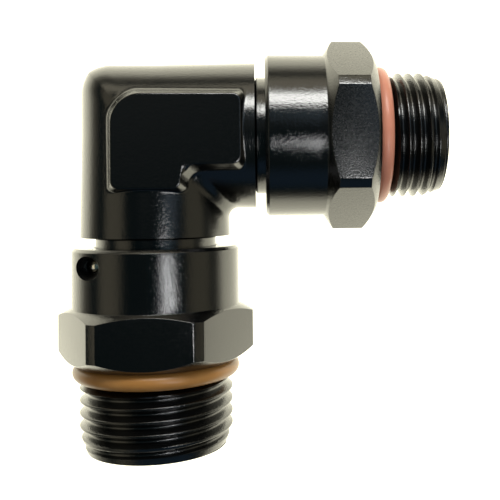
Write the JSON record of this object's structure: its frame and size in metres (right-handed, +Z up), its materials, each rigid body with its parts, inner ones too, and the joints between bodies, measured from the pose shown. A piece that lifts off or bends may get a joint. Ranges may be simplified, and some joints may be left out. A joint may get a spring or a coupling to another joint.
{
  "type": "hydraulic swivel elbow adapter",
  "caption": "Right-angle live swivel for hydraulic hose: a forged elbow whose two arms each carry a hex adapter with a straight-thread O-ring stud, turning freely on a ring of balls.",
  "frame": {"origin": "on the surface that the part lies on, under the middle of its bounding box", "axes": "+X along the side port, outwards; -Y along the lower port, outwards; +Z up, square to the plane of both port axes"},
  "size_m": [0.057, 0.0598, 0.0254],
  "materials": {
    "anodised": "black satin anodise over forged and turned aluminium",
    "bearing_steel": "polished",
    "lower_rubber": "satin tan fluorocarbon rubber",
    "side_rubber": "satin salmon fluorocarbon rubber",
    "nitrile": "matte black nitrile rubber",
    "ptfe": "white PTFE"
  },
  "bodies": {
    "elbow": {"elbow_body": "anodised", "lower_journal_o_ring": "nitrile", "lower_journal_backup_ring": "ptfe", "side_journal_o_ring": "nitrile", "side_journal_backup_ring": "ptfe"},
    "lower_adapter": {"lower_adapter": "anodised", "lower_port_seal": "lower_rubber"},
    "side_adapter": {"side_adapter": "anodised", "side_port_seal": "side_rubber"},
    "lower_balls": {"lower_ball_01": "bearing_steel", "lower_ball_02": "bearing_steel", "lower_ball_03": "bearing_steel", "lower_ball_04": "bearing_steel", "lower_ball_05": "bearing_steel", "lower_ball_06": "bearing_steel", "lower_ball_07": "bearing_steel", "lower_ball_08": "bearing_steel", "lower_ball_09": "bearing_steel", "lower_ball_10": "bearing_steel", "lower_ball_11": "bearing_steel", "lower_ball_12": "bearing_steel", "lower_ball_13": "bearing_steel", "lower_ball_14": "bearing_steel", "lower_ball_15": "bearing_steel", "lower_ball_16": "bearing_steel", "lower_ball_17": "bearing_steel", "lower_ball_18": "bearing_steel", "lower_ball_19": "bearing_steel"},
    "side_balls": {"side_ball_01": "bearing_steel", "side_ball_02": "bearing_steel", "side_ball_03": "bearing_steel", "side_ball_04": "bearing_steel", "side_ball_05": "bearing_steel", "side_ball_06": "bearing_steel", "side_ball_07": "bearing_steel", "side_ball_08": "bearing_steel", "side_ball_09": "bearing_steel", "side_ball_10": "bearing_steel", "side_ball_11": "bearing_steel", "side_ball_12": "bearing_steel", "side_ball_13": "bearing_steel", "side_ball_14": "bearing_steel", "side_ball_15": "bearing_steel", "side_ball_16": "bearing_steel", "side_ball_17": "bearing_steel", "side_ball_18": "bearing_steel", "side_ball_19": "bearing_steel"}
  },
  "joints": [
    {"name": "lower_swivel", "type": "hinge", "parent": "elbow", "child": "lower_adapter", "pos_m": [-0.0143, 0.0157, 0.0127], "axis": [0, -1, 0], "continuous": true},
    {"name": "side_swivel", "type": "hinge", "parent": "elbow", "child": "side_adapter", "pos_m": [-0.0143, 0.0157, 0.0127], "axis": [1, 0, 0], "continuous": true},
    {"name": "lower_ball_orbit", "type": "hinge", "parent": "elbow", "child": "lower_balls", "pos_m": [-0.0143, 0.0157, 0.0127], "axis": [0, -1, 0], "continuous": true},
    {"name": "side_ball_orbit", "type": "hinge", "parent": "elbow", "child": "side_balls", "pos_m": [-0.0143, 0.0157, 0.0127], "axis": [1, 0, 0], "continuous": true}
  ],
  "couplings": [
    {"joint": "lower_ball_orbit", "follows": "lower_swivel", "ratio": 0.579},
    {"joint": "side_ball_orbit", "follows": "side_swivel", "ratio": 0.579}
  ]
}
